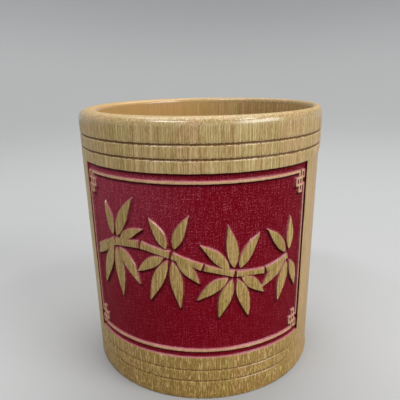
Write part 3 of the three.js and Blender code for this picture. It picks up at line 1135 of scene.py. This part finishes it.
# Places and sizes from here on are in metres, but the lens and its sensor are in millimetres.
CAMERA_DISTANCE = 0.1909
CAMERA_HEIGHT = 0.1218
CAMERA_AZIMUTH = math.radians(4.5)
CAMERA_PITCH = 0.286
CAMERA_YAW = -0.004
CAMERA_ROLL = -0.018
CAMERA_LENS = 40.0
CAMERA_SENSOR = 36
CAMERA_NEAREST = 0.01


def make_camera():
    spin = Matrix.Rotation(CAMERA_AZIMUTH, 3, "Z")
    ahead = spin @ Vector(
        (
            math.sin(CAMERA_YAW) * math.cos(CAMERA_PITCH),
            math.cos(CAMERA_YAW) * math.cos(CAMERA_PITCH),
            -math.sin(CAMERA_PITCH),
        )
    )
    level = spin @ Vector((math.cos(CAMERA_YAW), -math.sin(CAMERA_YAW), 0))
    up = level.cross(ahead)
    right = math.cos(CAMERA_ROLL) * level + math.sin(CAMERA_ROLL) * up
    top = -math.sin(CAMERA_ROLL) * level + math.cos(CAMERA_ROLL) * up
    turn = Matrix((right, top, -ahead)).transposed().to_4x4()
    place = spin @ Vector((0, -CAMERA_DISTANCE, CAMERA_HEIGHT))
    data = bpy.data.cameras.new("camera")
    data.lens = CAMERA_LENS
    data.sensor_width = CAMERA_SENSOR
    data.clip_start = CAMERA_NEAREST
    camera = bpy.data.objects.new("camera", data)
    camera.matrix_world = Matrix.Translation(place) @ turn
    bpy.context.scene.collection.objects.link(camera)
    bpy.context.scene.camera = camera


STAGE_FLOOR = 0.6
STAGE_BEND = 1.8
STAGE_TOP = 2.2
STAGE_FADE = (0.7, 2.3)
STAGE_NEAR = (0.37, 0.37, 0.37, 1)
STAGE_FAR = (0.85, 0.85, 0.85, 1)


def stage_material():
    g = Graph("pale_floor")
    place = g.add("ShaderNodeTexCoord").outputs["Object"]
    far = g.add("ShaderNodeVectorMath", {0: place}, operation="LENGTH").outputs["Value"]
    tone = g.mix(g.band(far, *STAGE_FADE), STAGE_NEAR, STAGE_FAR)
    g.put(g.shader.inputs["Base Color"], tone)
    g.shader.inputs["Roughness"].default_value = 0.9
    g.shader.inputs["Specular IOR Level"].default_value = 0.1
    return g.material


def make_stage():
    """A pale floor that sweeps up into a wall all round, so that no horizon line shows."""
    section = [(STAGE_FLOOR + STAGE_BEND, STAGE_TOP)]
    for turn in np.linspace(math.pi / 2, 0, 25):
        radius = STAGE_FLOOR + STAGE_BEND * math.sin(turn)
        section.append((radius, STAGE_BEND * (1 - math.cos(turn))))
    section.append((STAGE_FLOOR / 2, 0.0))
    points, faces = turned(section, open_start=True)
    mesh = bpy.data.meshes.new("floor")
    mesh.from_pydata(points.tolist(), [], faces)
    mesh.shade_smooth()
    mesh.materials.append(stage_material())
    floor = bpy.data.objects.new("floor", mesh)
    bpy.context.scene.collection.objects.link(floor)


WORLD_COLOUR = (0.95, 0.97, 1.0, 1)
WORLD_STRENGTH = 0.36
LIGHT_TARGET = (0, 0, 0.05)
LIGHT_SPREAD = math.radians(140)

# Soft lights: place, width and height, and watts.
LIGHTS = {
    "strip_left": ((-0.37, -0.49, 1.03), (0.55, 0.14), 2.3),
    "strip_right": ((0.56, -0.25, 0.97), (0.26, 0.14), 1.1),
    "overhead": ((0.0, 0.5, 1.3), (1.4, 1.2), 12.5),
    "key_right": ((1.05, -0.6, 0.72), (0.9, 0.6), 7.2),
    "front": ((0, -1.2, 0.72), (1.0, 0.6), 0.8),
}


def make_lights():
    world = bpy.data.worlds.new("studio")
    world.use_nodes = True
    background = world.node_tree.nodes["Background"]
    background.inputs["Color"].default_value = WORLD_COLOUR
    background.inputs["Strength"].default_value = WORLD_STRENGTH
    bpy.context.scene.world = world
    for name, (place, size, watts) in LIGHTS.items():
        data = bpy.data.lights.new(name, "AREA")
        data.shape = "RECTANGLE"
        data.size, data.size_y = size
        data.energy = watts
        data.spread = LIGHT_SPREAD
        light = bpy.data.objects.new(name, data)
        light.location = place
        ahead = Vector(LIGHT_TARGET) - Vector(place)
        light.rotation_euler = ahead.to_track_quat("-Z", "Y").to_euler()
        light.visible_camera = False
        bpy.context.scene.collection.objects.link(light)


# ---------------------------------------------------------------- build

sheet = Sheet()
carving = carve(sheet)

culm = make_culm(sheet, carving)
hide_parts("culm_wall")
culm.data.materials.append(bamboo_material())

field_coat, margin_coat = make_lacquer(sheet, carving)
red_lacquer = lacquer_material()
for coat, node in ((field_coat, "red_lacquer_field"), (margin_coat, "red_lacquer_margin")):
    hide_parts(node)
    coat.data.materials.append(red_lacquer)

floor_board = make_board()
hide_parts("base_disc")
floor_board.data.materials.append(board_material())

make_camera()
make_stage()
make_lights()
bpy.context.scene.view_settings.view_transform = "Standard"
